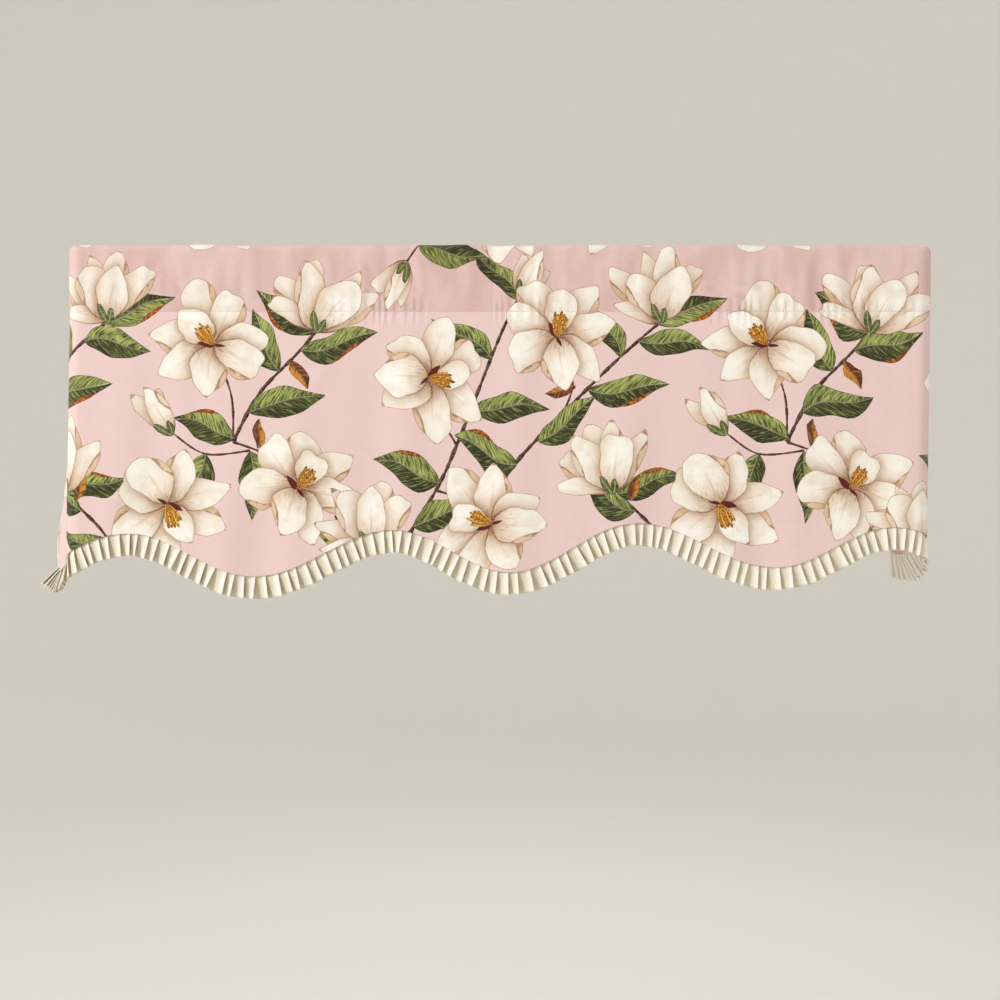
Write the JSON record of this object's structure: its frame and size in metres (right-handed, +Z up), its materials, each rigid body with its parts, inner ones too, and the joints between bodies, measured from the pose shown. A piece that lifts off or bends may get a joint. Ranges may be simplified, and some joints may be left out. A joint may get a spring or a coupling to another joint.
{
  "type": "window valance with rod pocket and pleated trim",
  "caption": "Floral cotton window valance with a rod pocket, returns to the wall, a wavy hem and a knife-pleated cream trim.",
  "frame": {"origin": "middle of the top fold of the rod pocket, on the line that the rod holds", "axes": "+X along the front towards the viewer's right, +Y from the front to the wall, +Z up"},
  "size_m": [1.0801, 0.1444, 0.411],
  "materials": {
    "printed_cotton": "matt woven cotton with a magnolia print",
    "cream_cotton": "matt cotton in pressed knife pleats"
  },
  "bodies": {
    "root": {"rod_pocket_front": "printed_cotton", "rod_pocket_return_left": "printed_cotton", "rod_pocket_return_right": "printed_cotton", "face_panel": "printed_cotton", "pleated_trim": "cream_cotton"}
  },
  "joints": []
}
